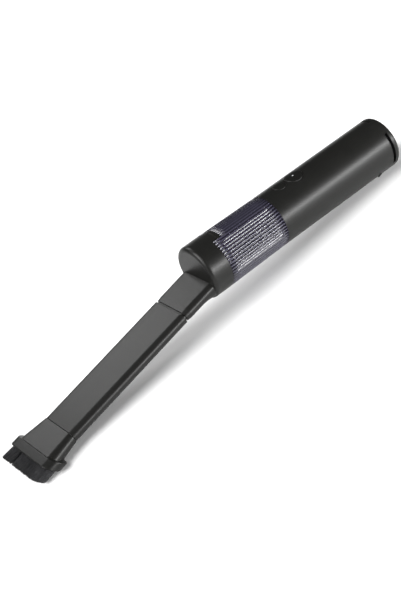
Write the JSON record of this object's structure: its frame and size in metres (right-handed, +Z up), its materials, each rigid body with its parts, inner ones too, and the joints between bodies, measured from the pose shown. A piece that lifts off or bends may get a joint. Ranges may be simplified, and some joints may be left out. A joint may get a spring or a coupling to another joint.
{
  "type": "handheld vacuum",
  "caption": "Slim cylindrical cordless handheld vacuum with a smoked dust cup, a flat bent extension tube and a slanted bristle brush head.",
  "frame": {"origin": "centre of the bottom of the whole object, on the surface that it lies on", "axes": "+Z up, -X towards the nozzle, +X towards the rear cap, +Y across"},
  "size_m": [0.5052, 0.069, 0.0784],
  "materials": {
    "satin_black_abs": "satin moulded black ABS",
    "smoked_clear": "smoked transparent styrene, polished",
    "button_black": "satin moulded black ABS",
    "clear_pipe": "clear polished acrylic",
    "black_rubber": "moulded black rubber",
    "grey_foam": "open-cell foam",
    "filter_fleece": "pleated filter fleece",
    "inner_plastic": "moulded dark plastic",
    "steel": "turned steel",
    "zinc_can": "zinc-plated drawn steel",
    "nickel_strip": "nickel strip",
    "cell_wrap": "heat-shrink sleeve",
    "fish_paper": "insulating paper",
    "board_green": "solder mask",
    "part_black": "moulded epoxy",
    "lamp": "lamp package",
    "sintered_bronze": "sintered bronze",
    "ferrite": "sintered ferrite",
    "copper": "enamelled copper",
    "spring_steel": "drawn spring wire",
    "lead_red": "insulated wire",
    "bristle": "black nylon bristle",
    "impeller_grey": "moulded nylon"
  },
  "bodies": {
    "housing": {"rear_cap": "satin_black_abs", "exhaust_foam": "grey_foam", "body_sleeve": "satin_black_abs", "charge_board": "board_green", "charge_port": "steel", "battery_cells": "cell_wrap", "battery_holders": "inner_plastic", "battery_strips": "nickel_strip", "battery_insulators": "fish_paper", "chassis_rails": "inner_plastic", "motor_can": "zinc_can", "motor_magnets": "ferrite", "motor_end_bell": "inner_plastic", "motor_bushes": "sintered_bronze", "motor_mount": "inner_plastic", "motor_gasket": "black_rubber", "motor_screws": "steel", "fan_shroud": "inner_plastic", "front_collar": "inner_plastic", "cup_seal": "black_rubber", "control_board": "board_green", "board_screws": "steel", "board_components": "part_black", "power_switch": "part_black", "power_lamp": "lamp", "latch_spring": "spring_steel", "battery_leads": "lead_red", "motor_leads": "lead_red"},
    "rotor": {"motor_shaft": "steel", "rotor_core": "steel", "rotor_windings": "copper", "commutator": "copper", "impeller": "impeller_grey", "impeller_nut": "sintered_bronze"},
    "power_button": {"power_button": "button_black", "button_light_pipe": "clear_pipe", "switch_plunger": "part_black"},
    "release_button": {"release_button": "button_black", "release_latch": "inner_plastic"},
    "dust_cup": {"cup_shell": "smoked_clear", "nose_cover": "satin_black_abs", "nose_gasket": "black_rubber", "inlet_duct": "inner_plastic", "flap_pin": "steel"},
    "inlet_flap": {"inlet_flap": "black_rubber"},
    "filter": {"filter_base": "inner_plastic", "filter_seal": "black_rubber", "filter_medium": "filter_fleece", "filter_cage": "inner_plastic", "filter_cap": "inner_plastic"},
    "extension_tube": {"extension_tube": "satin_black_abs"},
    "brush_head": {"brush_head": "satin_black_abs", "bristle_plate": "inner_plastic", "bristle_tufts": "bristle"},
    "port_cover": {"port_cover": "black_rubber"}
  },
  "joints": [
    {"name": "fan_spin", "type": "hinge", "parent": "housing", "child": "rotor", "pos_m": [0.13089, 0, 0.03811], "axis": [-0.9962, 0, 0.0872], "continuous": true},
    {"name": "power_press", "type": "slide", "parent": "housing", "child": "power_button", "axis": [-0.0872, 0, -0.9962], "range_m": [0, 0.0005], "stiffness_N_per_m": 1500},
    {"name": "release_press", "type": "slide", "parent": "housing", "child": "release_button", "axis": [-0.0872, 0, -0.9962], "range_m": [0, 0.0015], "stiffness_N_per_m": 900, "deforming": ["latch_spring"]},
    {"name": "cup_pull", "type": "slide", "parent": "housing", "child": "dust_cup", "axis": [-0.9962, 0, 0.0872], "range_m": [0, 0.09]},
    {"name": "filter_pull", "type": "slide", "parent": "housing", "child": "filter", "axis": [-0.9962, 0, 0.0872], "range_m": [0, 0.009]},
    {"name": "flap_swing", "type": "hinge", "parent": "dust_cup", "child": "inlet_flap", "pos_m": [0.01174, 0, 0.04513], "axis": [0, -1, 0], "range_deg": [0, 60], "stiffness_Nm_per_rad": 0.002},
    {"name": "tube_pull", "type": "slide", "parent": "dust_cup", "child": "extension_tube", "axis": [-0.9905, 0, -0.1374], "range_m": [0, 0.04]},
    {"name": "brush_pull", "type": "slide", "parent": "extension_tube", "child": "brush_head", "axis": [-0.9905, 0, -0.1374], "range_m": [0, 0.03]},
    {"name": "port_cover_swing", "type": "hinge", "parent": "housing", "child": "port_cover", "pos_m": [0.23396, -0.0198, 0.00921], "axis": [0.0617, -0.7071, 0.7044], "range_deg": [0, 100]}
  ]
}
